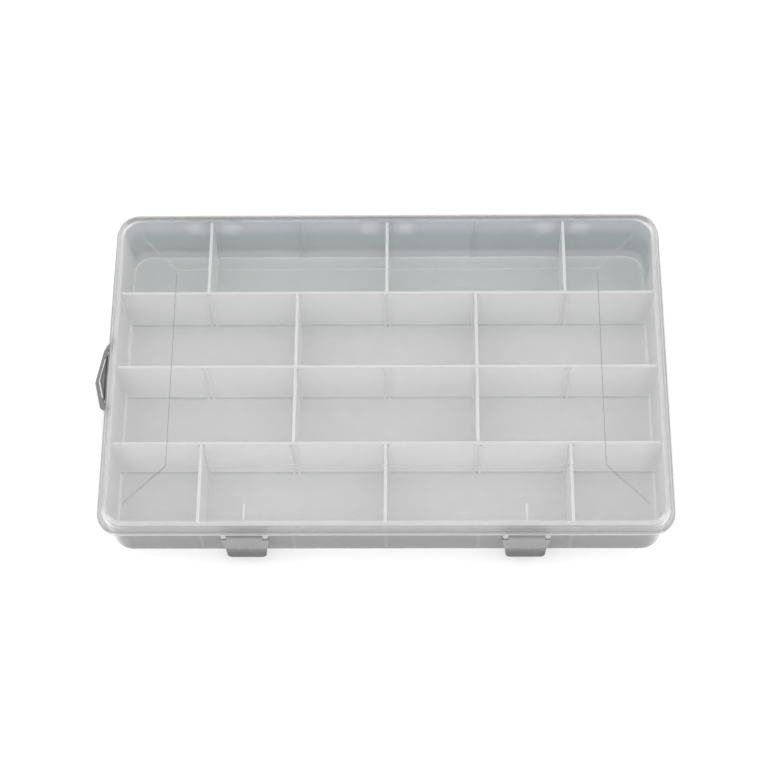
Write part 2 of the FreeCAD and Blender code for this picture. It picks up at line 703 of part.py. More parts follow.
def build_divider(label, column, side, near, foot_end, top_end):
    """One short divider from a partition's face to a far face that may lean."""
    divider = new_body(label)
    foot = "floor_top + divider_gap"
    outline = [
        (f"{side}({near} + divider_cut)", foot),
        (f"{side}({foot_end} - divider_cut)", foot),
        (f"{side}({foot_end})", f"{foot} + divider_cut"),
        (f"{side}({top_end})", "divider_top"),
        (f"{side}({near})", "divider_top"),
        (f"{side}({near})", f"{foot} + divider_cut"),
    ]
    sketch = sketch_on(divider, f"{label}_sketch", "YZ_Plane", "0", [outline])
    pad(divider, f"{label}_plate", sketch, "divider", symmetric=True)
    place(divider, across=f"{column} * grid_pitch")


def build_dividers():
    """Three short dividers in each outer row and two in each middle row."""
    edge = "partition / 2 + divider_gap"
    foot_end = f"{inside('tray_half_y', 'floor_top')} - divider_gap"
    top_end = f"{inside('tray_half_y', 'divider_top')} - divider_gap"
    far = f"row_pitch - ({edge})"
    for row, side in (("back", ""), ("front", "-")):
        for name, column in (("left", -2), ("middle", 0), ("right", 2)):
            build_divider(f"divider_{row}_{name}", column, side, f"row_pitch + {edge}",
                          foot_end, top_end)
    for row, side in (("upper", ""), ("lower", "-")):
        for name, column in (("left", -1), ("right", 1)):
            build_divider(f"divider_{row}_{name}", column, side, edge, far, far)


def build_latch(label, side):
    """A front latch: barrel, plate with a flared finger lip, and hook."""
    latch = new_body(label)
    face = "latch_y + latch_face"
    waist = f"{face} - latch_lean"
    tip = f"{waist} + latch_flare"
    plate = [
        (f"-({face})", "latch_shoulder"),
        (f"-({waist})", "latch_waist"),
        (f"-({tip})", "latch_foot"),
        (f"-({tip} - latch_sheet)", "latch_foot"),
        (f"-({waist} - latch_sheet)", "latch_waist"),
        (f"-({face} - latch_sheet)", "latch_shoulder"),
    ]
    sketch = sketch_on(latch, f"{label}_side", "YZ_Plane", "0", [plate])
    pad(latch, f"{label}_plate", sketch, "latch_width", symmetric=True)
    trims = []
    for turn in ("-", ""):
        trim = [
            (f"{turn}(latch_width / 2)", "latch_shoulder"),
            (f"{turn}(latch_tip / 2)", "latch_foot"),
            (f"{turn}(latch_width / 2 + latch_sheet)", "latch_foot - latch_sheet"),
            (f"{turn}(latch_width / 2 + latch_sheet)", "latch_shoulder"),
        ]
        trims.append(trim)
    sketch = sketch_on(latch, f"{label}_front", "XZ_Plane", "0", trims)
    pocket(latch, f"{label}_taper", sketch)
    fillet(latch, f"{label}_corners", "latch_corner", "latch_foot", "latch_foot", is_sideways)
    neck = [
        (f"-({face})", "latch_shoulder - latch_sheet / 2"),
        (f"-({face} - latch_sheet)", "latch_shoulder - latch_sheet / 2"),
        (f"-({face} - latch_sheet)", "latch_shoulder + latch_sheet / 2"),
        ("-(latch_y - latch_barrel)", "latch_z", "-latch_y", "latch_z", 1),
        ("-(latch_y + latch_barrel)", "latch_z"),
    ]
    sketch = sketch_on(latch, f"{label}_neck_sketch", "YZ_Plane", "0", [neck])
    pad(latch, f"{label}_neck", sketch, "latch_span", symmetric=True)
    reach = "catch_reach + hook_gap"
    root = f"{waist} - latch_sheet / 2"
    top = "catch_bottom - hook_drop"
    hook = [
        (f"-({root})", top),
        (f"-({root})", f"{top} - hook_height"),
        (f"-({reach})", f"{top} - 2 / 3 * hook_height"),
        (f"-({reach})", top),
    ]
    sketch = sketch_on(latch, f"{label}_hook_sketch", "YZ_Plane", "0", [hook])
    pad(latch, f"{label}_hook", sketch, "hook_width", symmetric=True)
    bore = circle_sketch(latch, f"{label}_bore_sketch", "YZ_Plane", "0", "-latch_y", "latch_z",
                         "latch_pin + pin_fit")
    pocket(latch, f"{label}_bore", bore)
    place(latch, across=f"{side}latch_x")


def is_sideways(edge):
    """Whether an edge runs mainly front to back."""
    run = edge.valueAt(edge.LastParameter) - edge.valueAt(edge.FirstParameter)
    return abs(run.y) > abs(run.x) + abs(run.z)


def build_hanger():
    """The chevron hanger, drawn straight out from its axis and then tilted."""
    hanger = new_body("side_hanger")
    half = [
        ("0", "hanger_half"),
        ("-hanger_neck", "hanger_half"),
        ("-hanger_elbow", "hanger_elbow_half"),
    ]
    inner = [
        ("-hanger_inner_elbow", "hanger_inner_half"),
        ("-hanger_inner_neck", "hanger_half - hanger_leg"),
        ("0", "hanger_half - hanger_leg"),
    ]
    outline = half + [("-hanger_point", "0")] + mirrored(half)
    outline += mirrored(inner) + [("-hanger_inner_point", "0")] + inner
    sketch = sketch_on(hanger, "strip_sketch", "XY_Plane", "0", [outline])
    pad(hanger, "strip", sketch, "hanger_sheet", symmetric=True)
    hanger_groove(hanger)
    eye = circle_sketch(hanger, "eye_sketch", "XZ_Plane", "hanger_half - hanger_leg", "0", "0",
                        "hanger_eye")
    feature = pad(hanger, "eye", eye, "hanger_leg")
    repeat(hanger, "eyes", [feature], ("Y_Axis", "2 * hanger_half - hanger_leg", 2))
    bore = circle_sketch(hanger, "eye_bore_sketch", "XZ_Plane", "0", "0", "0",
                         "hanger_pin + pin_fit")
    pocket(hanger, "eye_bore", bore)
    hanger.Placement.Rotation = FreeCAD.Rotation(vector(0, 1, 0), -value("hanger_tilt"))
    place(hanger, across="-hanger_x", up="hanger_z")


def hanger_groove(hanger):
    """A shallow groove in the hanger's upper face, parallel to its outer edge."""
    start = "hanger_point - hanger_rim"
    drop = "(hanger_point - hanger_elbow) / hanger_elbow_half * hanger_groove_half"
    outer = [(f"-({start} - {drop})", "hanger_groove_half")]
    inner = [(f"-({start} - {drop} - hanger_groove)", "hanger_groove_half")]
    outline = outer + [(f"-({start})", "0")] + mirrored(outer)
    outline += mirrored(inner) + [(f"-({start} - hanger_groove)", "0")] + inner
    floor = "hanger_sheet / 2 - hanger_groove_depth"
    sketch = sketch_on(hanger, "groove_sketch", "XY_Plane", floor, [outline])
    pocket(hanger, "groove", sketch, "hanger_groove_depth", side="One side")


def mirrored(corners):
    """The same corners on the other side of the sketch's first axis, in reverse order."""
    return [(across, f"-({up})") for across, up in reversed(corners)]


def build_pin(label, role, radius, length, across, back, up):
    """A straight pin with broken edges, centred on its place."""
    pin = new_body(label)
    sketch = circle_sketch(pin, f"{label}_sketch", role, "0", "0", "0", radius)
    feature = pad(pin, f"{label}_shank", sketch, length, symmetric=True)
    edges = [f"Edge{number}" for number, edge in enumerate(feature.Shape.Edges, start=1)
             if edge.isClosed()]
    chamfer = pin.newObject("PartDesign::Chamfer", f"{label}_chamfer")
    chamfer.Base = (feature, edges)
    chamfer.setExpression("Size", cell("pin_chamfer"))
    place(pin, across, back, up)


def build_pins():
    """The pins of the lid's hinges, the latches and the hanger."""
    for name, column in (("left", -2), ("middle", 0), ("right", 2)):
        build_pin(f"hinge_pin_{name}", "YZ_Plane", "pin_radius", "hinge_width - 2 * hinge_gap",
                  f"{column} * grid_pitch", "hinge_y", "hinge_z")
    span = "latch_span + 2 * latch_ear + hinge_gap"
    for name, side in (("left", "-"), ("right", "")):
        build_pin(f"latch_pin_{name}", "YZ_Plane", "latch_pin", span,
                  f"{side}latch_x", "-latch_y", "latch_z")
    span = "hanger_leg + hinge_gap + lug"
    middle = f"hanger_half - hanger_leg + ({span}) / 2"
    for name, side in (("front", "-"), ("back", "")):
        build_pin(f"hanger_pin_{name}", "XZ_Plane", "hanger_pin", span,
                  "-hanger_x", f"{side}({middle})", "hanger_z")


def write_parts():
    """Check every object and write one STEP file for each sub-part."""
    doc.recompute()
    for item in doc.Objects:
        if "Invalid" in item.State or "Error" in item.State:
            raise ValueError(f"{item.Label} failed")
    os.makedirs("parts", exist_ok=True)
    for body in nodes:
        shape = body.Shape
        if shape.isNull() or not shape.isValid() or len(shape.Solids) != 1:
            raise ValueError(f"{body.Label} is not one valid solid")
        shape.exportStep(f"parts/{body.Label}.step")
        box = shape.BoundBox
        print(body.Label, round(shape.Volume, 1), "mm3, x", round(box.XMin, 2),
              round(box.XMax, 2), "y", round(box.YMin, 2), round(box.YMax, 2), "z",
              round(box.ZMin, 2), round(box.ZMax, 2))


build_tray()
build_lid()
build_dividers()
build_latch("latch_left", "-")
build_latch("latch_right", "")
build_hanger()
build_pins()
write_parts()
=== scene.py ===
import json
import math

import bpy
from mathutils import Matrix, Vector

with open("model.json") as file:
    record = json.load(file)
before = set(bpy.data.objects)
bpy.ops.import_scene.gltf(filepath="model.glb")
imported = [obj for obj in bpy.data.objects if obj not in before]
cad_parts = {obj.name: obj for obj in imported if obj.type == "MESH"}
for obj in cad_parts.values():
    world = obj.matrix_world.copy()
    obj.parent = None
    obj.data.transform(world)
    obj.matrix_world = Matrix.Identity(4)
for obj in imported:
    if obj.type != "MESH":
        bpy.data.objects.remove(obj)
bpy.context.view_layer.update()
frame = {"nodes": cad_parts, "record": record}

# Materials, light and camera for the tackle box.  Metres, in the CAD's frame.
# Every surface is part clear and part haze.  A shade says where on a piece the haze
# is denser and what colour it has; most of these colours are painted light and shade,
# placed by position on the part.

scene = bpy.context.scene
scene.cycles.transparent_max_bounces = 48  # a low view looks through every divider
scene.view_settings.view_transform = "Standard"


def grey(level):
    """A neutral colour."""
    return (level, level, level, 1.0)


# Sizes of the part that the shades follow.
TRAY_X = 0.1738
TRAY_Y = 0.1084
TRAY_DRAFT = 0.00185
TRAY_CORNER = 0.0130
RIM_TOP = 0.0454
LIP_X = 0.1775
LIP_Y = 0.1135
LIP_CORNER = 0.0147
HINGE_PITCH = 0.1148
LATCH_X = 0.0865
LATCH_RIB = 0.0007
LATCH_RIB_Y = (-0.1056, -0.0956)
CREASE_X = 0.1360
CREASE_Y = 0.0696
MITRE_REACH = 0.0255
MITRE_SLOPE = 1.016
HANGER_X = 0.1759
HANGER_Z = 0.033
HANGER_SLOPE = 7.2 / 20.5

# The camera: what it looks at, from how far, at what angles, with what lens.
TARGET = Vector((-0.00174, -0.00240, 0.025))
DISTANCE = 1.3529
ELEVATION = math.radians(63.216)
YAW = math.radians(2.370)
ROLL = math.radians(-2.263)
LENS = 98.99
SENSOR = 36

# The studio: light from all round, brighter from the front, and a pale floor.
SKY = 1.40
SKY_TOWARDS_BACK = -0.35
SKY_IN_MIRRORS = 0.35
STAGE_REACH = 12.0
STAGE_DROP = 0.0002
STAGE_COLOUR = grey(0.93)
STAGE_ROUGHNESS = 0.9
STAGE_SPECULAR = 0.1
STAGE_GLOW = 0.10

# The plastic itself: how fine its clouds, flow marks and grain are, how strong they
# are, how haze and shine grow as a surface turns away, and how clear it is.
CLOUD = 18.0
FLOW = 140.0
FINE = 1500.0
GRAIN = 0.00002
GRAIN_STRENGTH = 0.02
CLOUD_SPREAD = 0.5
CLOUD_LEAST = 0.75
FLOW_SPREAD = 0.16
GLOSS_SPREAD = 0.12
EDGE_RADIUS = 0.0007
SHARP = (0.995, 0.80)
SLANT_POWER = 2.2
GLANCE_POWER = 5.0
GLANCE_SHINE = 0.9
SHINE = 0.035
PLASTIC_IOR = 1.49
CLEAR = grey(0.985)
TRAY_CLEAR = grey(0.93)

# Colours of the haze, many of them painted light and shade.
# The colour of every painted highlight: sharp edges, partition tops, knuckles, the hanger's groove,
# ribs, the lid's rim and its rear creases.
HIGHLIGHT = grey(0.98)
TRAY = grey(0.79)
# Painted light on upright faces and towards the front, painted shade on the inner end walls.
UPRIGHT_LIGHT = grey(0.97)
INNER_END_SHADE = grey(0.86)
FRONT_LIGHT = grey(0.81)
# Painted shade on the back row's floor and along the feet of the partitions.
BACK_FLOOR_SHADE = (0.71, 0.745, 0.74, 1.0)
FOOT_SHADE = (0.50, 0.55, 0.54, 1.0)
# Painted shade on the outer walls, lighter on the end walls and darkest at the foot.
WALL_SHADE = grey(0.10)
END_WALL_SHADE = grey(0.17)
WALL_JOINT = grey(0.155)
WALL_FOOT_SHADE = grey(0.04)
# Painted light on the hinge knuckles; painted shade on the back wall's inner face, paler near its
# top and foot.
KNUCKLE_LIGHT = grey(0.45)
BACK_WALL_SHADE = (0.295, 0.36, 0.365, 1.0)
BACK_WALL_BLUE_SHADE = (0.275, 0.35, 0.375, 1.0)
BACK_WALL_TOP = (0.50, 0.53, 0.59, 1.0)
BACK_WALL_FOOT = (0.56, 0.62, 0.64, 1.0)
LID = grey(0.82)
# Painted shade on the lid's skirt, paler at the sides and back, and on its round behind.
SKIRT_SHADE = grey(0.25)
SIDE_SKIRT_SHADE = grey(0.36)
BACK_SKIRT_SHADE = grey(0.50)
BACK_ROUND_SHADE = grey(0.28)
# Painted light on the front lip.
FRONT_LIP_LIGHT = grey(0.57)
# Painted shade along the lid's creases.
CREASE_SHADE = (0.22, 0.23, 0.23, 1.0)
DIVIDER = grey(0.97)
LATCH = grey(0.23)
# Painted highlight on the latch's edges.
LATCH_EDGE_HIGHLIGHT = grey(0.36)
LATCH_TIP = grey(0.115)
HANGER = grey(0.16)
# Painted shade on the hanger's edges.
HANGER_EDGE_SHADE = grey(0.11)
HANGER_INNER = grey(0.07)
HANGER_NEAR = grey(0.20)
PIN = grey(0.80)

# How much haze a shade adds, or how far it goes towards its colour.
OUTER_DENSITY = 0.62
INSIDE_SHARE = 0.8
TOP_HAZE = 0.22
NEAR_HAZE = 0.14
BACK_FLOOR_HAZE = 0.25
FOOT_HAZE = 0.22
BACK_WALL_HAZE = 0.22
KNUCKLE_SHARE = 0.28
DIVIDER_TOP_HAZE = 0.12
TIP_HAZE = 0.25
RIB_HAZE = 0.12
PALE_RIM_HAZE = 0.05
BACK_ROUND_SHARE = 0.8
SKIRT_HAZE = 0.40
END_CREASE_SHARE = 0.4
LIGHT_CREASE_HAZE = 0.03
CREASE_HAZE = 0.30

# Which way a surface faces, as parts of its normal where a shade begins and is full.
UPRIGHT = (0.5, 0.1)
FACES_UP = (0.5, 0.9)
LEVEL = (0.7, 0.95)
LEANS = (0.1, 0.3)
NOT_LEVEL = (0.98, 0.85)
NOT_FLAT = (0.9, 0.7)
NOT_SIDEWAYS = (0.3, 0.1)
TURNS_SIDEWAYS = (0.2, 0.9)
FACES_ALONG = (0.5, 0.9)
FACES_FRONT = (-0.05, -0.5)
FACES_LEFT = (-0.2, -0.7)

# Places on the part.  Two numbers are where a shade begins and where it is full, and
# two more are its least and its most.  Three are a band's ends and how soft they are.
PARTITIONS_DENSER = (0.02, -0.06, 0.22, 0.42)
FLOOR_PALER = (0.03, -0.08)
END_BEGINS = (0.160, 0.168)
INSIDE_X = (0.1706, 0.1696)
INSIDE_Y = (0.1056, 0.1046)
TOP_EDGE = (0.0440, 0.0448)
RING_SHARE = (0.098, 0.088, 0.05, 0.15)
FLOOR_HEIGHT = (0.0066, 0.0042)
FLOOR_NEAR = (-0.074, -0.096)
BACK_ROW = (0.040, 0.062)
FOOT_ENDS = (0.098, 0.095)
WALL_SKIN = (0.0010, 0.0006)
WALL_FOOT_HEIGHT = (0.0052, 0.0020)
WALL_JOINT_WIDTH = (0.0015, 0.0007)
BACK_WALL_Y = (0.088, 0.096)
BLUE_DRIFT = 9.0
BLUE_SLOPE = 1.6
BLUE_RANGE = (0.30, 0.75)
BACK_WALL_UPPER = (0.026, 0.041)
BACK_WALL_LOWER = (0.013, 0.006)
BACK_CORNER_X = (0.158, 0.166)
BACK_CORNER_Y = (0.074, 0.082)
KNUCKLE_WIDTH = (0.006, 0.0165, 0.0030)
KNUCKLE_HEIGHT = (0.0270, 0.0335)
KNUCKLE_Y = (0.1088, 0.1094)
DIVIDER_TOP = (0.0440, 0.0447)
TIP_HEIGHT = (0.020, 0.013)
HANGER_INNER_SIDE = (0.0118, 0.0104)
HANGER_NEAR_SIDE = (0.0095, 0.0050)
GROOVE_HEIGHT = (0.00035, 0.00090, 0.0001)
GROOVE_ALONG = (0.0104, 0.0126, 0.0002)
LID_BACK = (0.101, 0.106)
LID_SIDE = (0.168, 0.174)
PALE_RIM_OUTER = (0.0018, 0.0056)
PALE_RIM_INNER = (0.0074, 0.0060)
SKIRT_BEGINS = 0.0042
SKIRT_FULL = 0.0012
SIDE_SKIRT_EXTRA = 0.0018
BACK_ROUND_BAND = (0.0042, 0.0068, 0.0008)
LIP_FRONT = (-0.1108, -0.1124)
LIP_HEIGHT = (0.0414, 0.0408)
CREASE_HALF = 0.0003
CREASE_SOFT = 0.0003
CREASE_STOP = (0.0004, -0.0002)
MITRE_HALF = 0.0005
MITRE_SOFT = 0.0004
MITRE_END_SOFT = 0.0006
RIB_SOFT = 0.0004
CREASE_REAR = (0.066, 0.0685)


class Tree:
    """A node tree with short calls for adding and linking nodes."""

    def __init__(self, tree):
        self.tree = tree
        tree.nodes.clear()

    def add(self, kind, settings=None, **inputs):
        """Add a node.  An input is a number, a colour or another node's output."""
        node = self.tree.nodes.new(kind)
        for name, setting in (settings or {}).items():
            setattr(node, name, setting)
        for name, given in inputs.items():
            key = int(name[1:]) if name[0] == "i" and name[1:].isdigit() else name.replace("_", " ")
            socket = node.inputs[key]
            if isinstance(given, bpy.types.NodeSocket):
                self.tree.links.new(given, socket)
            else:
                socket.default_value = given
        return node

    def math(self, operation, first, second=0.0, third=0.0, clamp=False):
        """The result of one maths node."""
        node = self.add("ShaderNodeMath", {"operation": operation, "use_clamp": clamp},
                        i0=first, i1=second, i2=third)
        return node.outputs[0]

    def product(self, first, *others):
        """Numbers multiplied together."""
        for other in others:
            first = self.math("MULTIPLY", first, other)
        return first

    def denser(self, amount, mask, step):
        """More haze where the mask is."""
        return self.math("MULTIPLY_ADD", mask, step, amount, clamp=True)

    def mix(self, factor, first, second):
        """A blend of two colours."""
        node = self.add("ShaderNodeMix", {"data_type": "RGBA"}, i0=factor, i6=first, i7=second)
        return node.outputs[2]

    def ramp(self, given, low, high, start=0.0, end=1.0):
        """A number moved from one range to another, smoothly and without overshoot."""
        node = self.add("ShaderNodeMapRange", {"interpolation_type": "SMOOTHSTEP"},
                        i0=given, i1=low, i2=high, i3=start, i4=end)
        return node.outputs[0]

    def band(self, given, low, high, soft):
        """1 where a number lies between two limits, with soft ends."""
        rise = self.ramp(given, low - soft, low + soft)
        fall = self.ramp(given, high + soft, high - soft)
        return self.product(rise, fall)

    def noise(self, where, scale, detail=2.0, rough=0.5):
        """Values of a noise texture, about 0.5 on average."""
        node = self.add("ShaderNodeTexNoise", Vector=where, Scale=scale, Detail=detail,
                        Roughness=rough)
        return node.outputs[0]


def edge_mask(tree, radius):
    """1 along sharp edges, 0 on flat faces, and the normal with the edges rounded."""
    bevel = tree.add("ShaderNodeBevel", {"samples": 6}, Radius=radius)
    plain = tree.add("ShaderNodeNewGeometry")
    dot = tree.add("ShaderNodeVectorMath", {"operation": "DOT_PRODUCT"},
                   i0=bevel.outputs[0], i1=plain.outputs["Normal"])
    return tree.ramp(dot.outputs["Value"], *SHARP), bevel.outputs[0]


def plastic(name, tint, edge_highlight_and_shade, through, haze, edge_haze, side_haze, rough, shade=None):
    """Translucent moulded plastic: clear, with haze that gathers at edges and slants.  Sharp edges
    take a painted highlight, and on the hanger a painted shade.
    """
    material = bpy.data.materials.new(name)
    material.use_nodes = True
    tree = Tree(material.node_tree)
    where = tree.add("ShaderNodeTexCoord").outputs["Object"]
    edges, soft_normal = edge_mask(tree, EDGE_RADIUS)
    cloud = tree.noise(where, CLOUD, 3.0, 0.55)
    flow = tree.noise(where, FLOW)
    fine = tree.noise(where, FINE, 1.0, 0.6)
    facing = tree.add("ShaderNodeLayerWeight", Blend=0.5).outputs["Facing"]
    slant = tree.math("POWER", facing, SLANT_POWER)
    patch = tree.math("MULTIPLY_ADD", cloud, CLOUD_SPREAD, CLOUD_LEAST - FLOW_SPREAD / 2)
    patch = tree.math("MULTIPLY_ADD", flow, FLOW_SPREAD, patch)
    amount = tree.math("MULTIPLY", patch, haze)
    amount = tree.math("MULTIPLY_ADD", slant, side_haze, amount)
    amount = tree.denser(amount, edges, edge_haze)
    # Sharp edges get a painted highlight; on the hanger, a painted shade.
    colour = tree.mix(edges, tint, edge_highlight_and_shade)
    if shade:
        amount, colour = shade(tree, where, amount, colour)
    gloss_rough = tree.math("MULTIPLY_ADD", cloud, GLOSS_SPREAD, rough - GLOSS_SPREAD / 2)
    bump = tree.add("ShaderNodeBump", Strength=GRAIN_STRENGTH, Distance=GRAIN, Height=fine,
                    Normal=soft_normal)
    body = tree.add("ShaderNodeBsdfPrincipled", Base_Color=colour, Roughness=gloss_rough,
                    Normal=bump.outputs[0])
    body.inputs["IOR"].default_value = PLASTIC_IOR
    body.inputs["Specular IOR Level"].default_value = 0.0
    clear = tree.add("ShaderNodeBsdfTransparent", Color=through)
    mixed = tree.add("ShaderNodeMixShader", i0=amount, i1=clear.outputs[0], i2=body.outputs[0])
    gloss = tree.add("ShaderNodeBsdfGlossy", Color=grey(1.0), Roughness=gloss_rough,
                     Normal=bump.outputs[0])
    glance = tree.math("POWER", facing, GLANCE_POWER)
    shine = tree.math("MULTIPLY_ADD", glance, GLANCE_SHINE, SHINE)
    surface = tree.add("ShaderNodeMixShader", i0=shine, i1=mixed.outputs[0], i2=gloss.outputs[0])
    tree.add("ShaderNodeOutputMaterial", Surface=surface.outputs[0])
    return material


def solid_normal(tree):
    """The normal that points out of the solid, split into three."""
    shape = tree.add("ShaderNodeNewGeometry")
    flip = tree.math("MULTIPLY_ADD", shape.outputs["Backfacing"], -2.0, 1.0)
    out = tree.add("ShaderNodeVectorMath", {"operation": "SCALE"}, i0=shape.outputs["Normal"],
                   Scale=flip)
    return tree.add("ShaderNodeSeparateXYZ", Vector=out.outputs[0]).outputs


class Place:
    """Where a point of the tray is, and which way its surface faces."""

    def __init__(self, tree, where):
        self.where = where
        self.x, self.y, self.z = tree.add("ShaderNodeSeparateXYZ", Vector=where).outputs
        self.across = tree.math("ABSOLUTE", self.x)
        self.deep = tree.math("ABSOLUTE", self.y)
        self.nx, self.ny, self.nz = solid_normal(tree)
        self.tilt = tree.math("ABSOLUTE", self.nz)
        self.to_side = tree.math("ABSOLUTE", self.nx)


def from_corner(tree, across, deep, centre_x, centre_y):
    """How far past the centres of an outline's round corners a point is."""
    over_x = tree.math("MAXIMUM", tree.math("SUBTRACT", across, centre_x), 0.0)
    over_y = tree.math("MAXIMUM", tree.math("SUBTRACT", deep, centre_y), 0.0)
    square = tree.math("MULTIPLY_ADD", over_y, over_y, tree.product(over_x, over_x))
    return tree.math("SQRT", square)


def rim_distance(tree, across, deep):
    """How far inside the outline of the lid's lip a point is, up to the corner radius."""
    past = from_corner(tree, across, deep, LIP_X - LIP_CORNER, LIP_Y - LIP_CORNER)
    return tree.math("SUBTRACT", LIP_CORNER, past)


def wall_depth(tree, at):
    """How far inside the outer face of the tray's leaning walls a point is."""
    foot = TRAY_DRAFT + TRAY_CORNER
    past = from_corner(tree, at.across, at.deep, TRAY_X - foot, TRAY_Y - foot)
    radius = tree.math("MULTIPLY_ADD", at.z, TRAY_DRAFT / RIM_TOP, TRAY_CORNER)
    return tree.math("SUBTRACT", radius, past)


def tray_shade(tree, where, amount, colour):
    """Painted light and shade on the tray's parts, from the partitions out to the walls and the
    hinges.
    """
    at = Place(tree, where)
    for part in (partitions, top_edge_highlight, tray_floor, outer_walls, back_wall_shade):
        amount, colour = part(tree, at, amount, colour)
    # Painted light on the hinge knuckles, paler than the outer walls' painted shade.
    hinge_light = tree.ramp(at.y, *KNUCKLE_Y)
    return amount, tree.mix(hinge_light, colour, KNUCKLE_LIGHT)


def partitions(tree, at, amount, colour):
    """Painted light makes upright faces paler than the floor and the tray paler towards the front;
    painted shade darkens the inner end walls.  Upright faces are denser towards the front.
    """
    colour = tree.mix(tree.ramp(at.y, *FLOOR_PALER), colour, FRONT_LIGHT)
    upright = tree.ramp(at.tilt, *UPRIGHT)
    colour = tree.mix(upright, colour, UPRIGHT_LIGHT)
    inner_end_shade = tree.product(upright, tree.ramp(at.across, *END_BEGINS))
    colour = tree.mix(inner_end_shade, colour, INNER_END_SHADE)
    return tree.denser(amount, upright, tree.ramp(at.y, *PARTITIONS_DENSER)), colour


def top_edge_highlight(tree, at, amount, colour):
    """A painted highlight on the partitions' tops, and a fainter one on the ring round the tray."""
    inside = tree.product(tree.ramp(at.across, *INSIDE_X), tree.ramp(at.deep, *INSIDE_Y))
    ring = tree.ramp(at.y, *RING_SHARE)
    share = tree.math("MAXIMUM", tree.product(inside, INSIDE_SHARE), ring)
    # Painted highlight along the tops.
    top = tree.product(tree.ramp(at.z, *TOP_EDGE), tree.ramp(at.nz, *FACES_UP), share)
    return tree.denser(amount, top, TOP_HAZE), tree.mix(top, colour, HIGHLIGHT)


def tray_floor(tree, at, amount, colour):
    """Painted shade: a darker, bluer floor in the back row, and grey along the feet of the
    partitions.  The floor is also denser near the front.
    """
    low = tree.ramp(at.z, *FLOOR_HEIGHT)
    floor = tree.product(tree.ramp(at.tilt, *LEVEL), low)
    near = tree.product(floor, tree.ramp(at.y, *FLOOR_NEAR))
    amount = tree.denser(amount, near, NEAR_HAZE)
    # Painted shade on the back row's floor.
    back_floor_shade = tree.product(tree.ramp(at.y, *BACK_ROW), floor)
    colour = tree.mix(back_floor_shade, colour, BACK_FLOOR_SHADE)
    amount = tree.denser(amount, back_floor_shade, BACK_FLOOR_HAZE)
    # Painted shade where the feet of the partitions meet the floor.
    slope = tree.product(tree.ramp(at.tilt, *LEANS), tree.ramp(at.tilt, *NOT_LEVEL))
    middle = tree.product(tree.ramp(at.to_side, *NOT_SIDEWAYS), tree.ramp(at.deep, *FOOT_ENDS))
    foot = tree.product(low, slope, middle)
    return tree.denser(amount, foot, FOOT_HAZE), tree.mix(foot, colour, FOOT_SHADE)


def outer_walls(tree, at, amount, colour):
    """Painted shade on the outer faces: dark grey, a little lighter on the end walls, with paler
    lines at the partitions' ends and darkest at the foot.
    """
    skin = tree.ramp(wall_depth(tree, at), *WALL_SKIN)
    outer = tree.product(skin, tree.ramp(at.tilt, *NOT_FLAT))
    apart = tree.math("PINGPONG", at.x, HINGE_PITCH / 4)
    long_wall = tree.ramp(tree.math("ABSOLUTE", at.ny), *FACES_ALONG)
    joint = tree.product(tree.ramp(apart, *WALL_JOINT_WIDTH), long_wall)
    # Painted shade on the outer faces.
    outside_shade = tree.mix(tree.ramp(at.to_side, *TURNS_SIDEWAYS), WALL_SHADE, END_WALL_SHADE)
    outside_shade = tree.mix(joint, outside_shade, WALL_JOINT)
    outside_shade = tree.mix(tree.ramp(at.z, *WALL_FOOT_HEIGHT), outside_shade, WALL_FOOT_SHADE)
    missing = tree.math("SUBTRACT", OUTER_DENSITY, amount)
    return tree.denser(amount, outer, missing), tree.mix(outer, colour, outside_shade)


def back_wall_shade(tree, at, amount, colour):
    """Painted shade on the back wall's inner face: grey-blue, paler near its top and foot, with
    painted light where the hinge knuckles stand behind it and painted shade in the back corners.
    """
    inner = tree.product(tree.ramp(at.ny, *FACES_FRONT), tree.ramp(at.y, *BACK_WALL_Y))
    drift = tree.noise(at.where, BLUE_DRIFT, 1.0)
    blue = tree.ramp(tree.math("MULTIPLY_ADD", at.x, BLUE_SLOPE, drift), *BLUE_RANGE)
    shade = tree.mix(blue, BACK_WALL_SHADE, BACK_WALL_BLUE_SHADE)
    shade = tree.mix(tree.ramp(at.z, *BACK_WALL_UPPER), shade, BACK_WALL_TOP)
    shade = tree.mix(tree.ramp(at.z, *BACK_WALL_LOWER), shade, BACK_WALL_FOOT)
    apart = tree.math("PINGPONG", at.x, HINGE_PITCH / 2)
    # Painted light where the knuckles stand behind the wall.
    knuckle_light = tree.product(tree.band(apart, *KNUCKLE_WIDTH), tree.ramp(at.z, *KNUCKLE_HEIGHT))
    shade = tree.mix(tree.product(knuckle_light, KNUCKLE_SHARE), shade, HIGHLIGHT)
    # Painted shade in the back corners.
    corner = tree.product(tree.ramp(at.x, *BACK_CORNER_X), tree.ramp(at.y, *BACK_CORNER_Y),
                          tree.ramp(at.nx, *FACES_LEFT))
    inner = tree.math("MAXIMUM", inner, corner)
    return tree.denser(amount, inner, BACK_WALL_HAZE), tree.mix(inner, colour, shade)


def divider_shade(tree, where, amount, colour):
    """A painted highlight makes the top edge paler than the faces."""
    z = tree.add("ShaderNodeSeparateXYZ", Vector=where).outputs[2]
    top = tree.ramp(z, *DIVIDER_TOP)
    return tree.denser(amount, top, DIVIDER_TOP_HAZE), tree.mix(top, colour, HIGHLIGHT)


def latch_shade(tree, where, amount, colour):
    """The finger lip, below a set height, is darker and denser than the rest."""
    z = tree.add("ShaderNodeSeparateXYZ", Vector=where).outputs[2]
    tip = tree.ramp(z, *TIP_HEIGHT)
    return tree.denser(amount, tip, TIP_HAZE), tree.mix(tip, colour, LATCH_TIP)


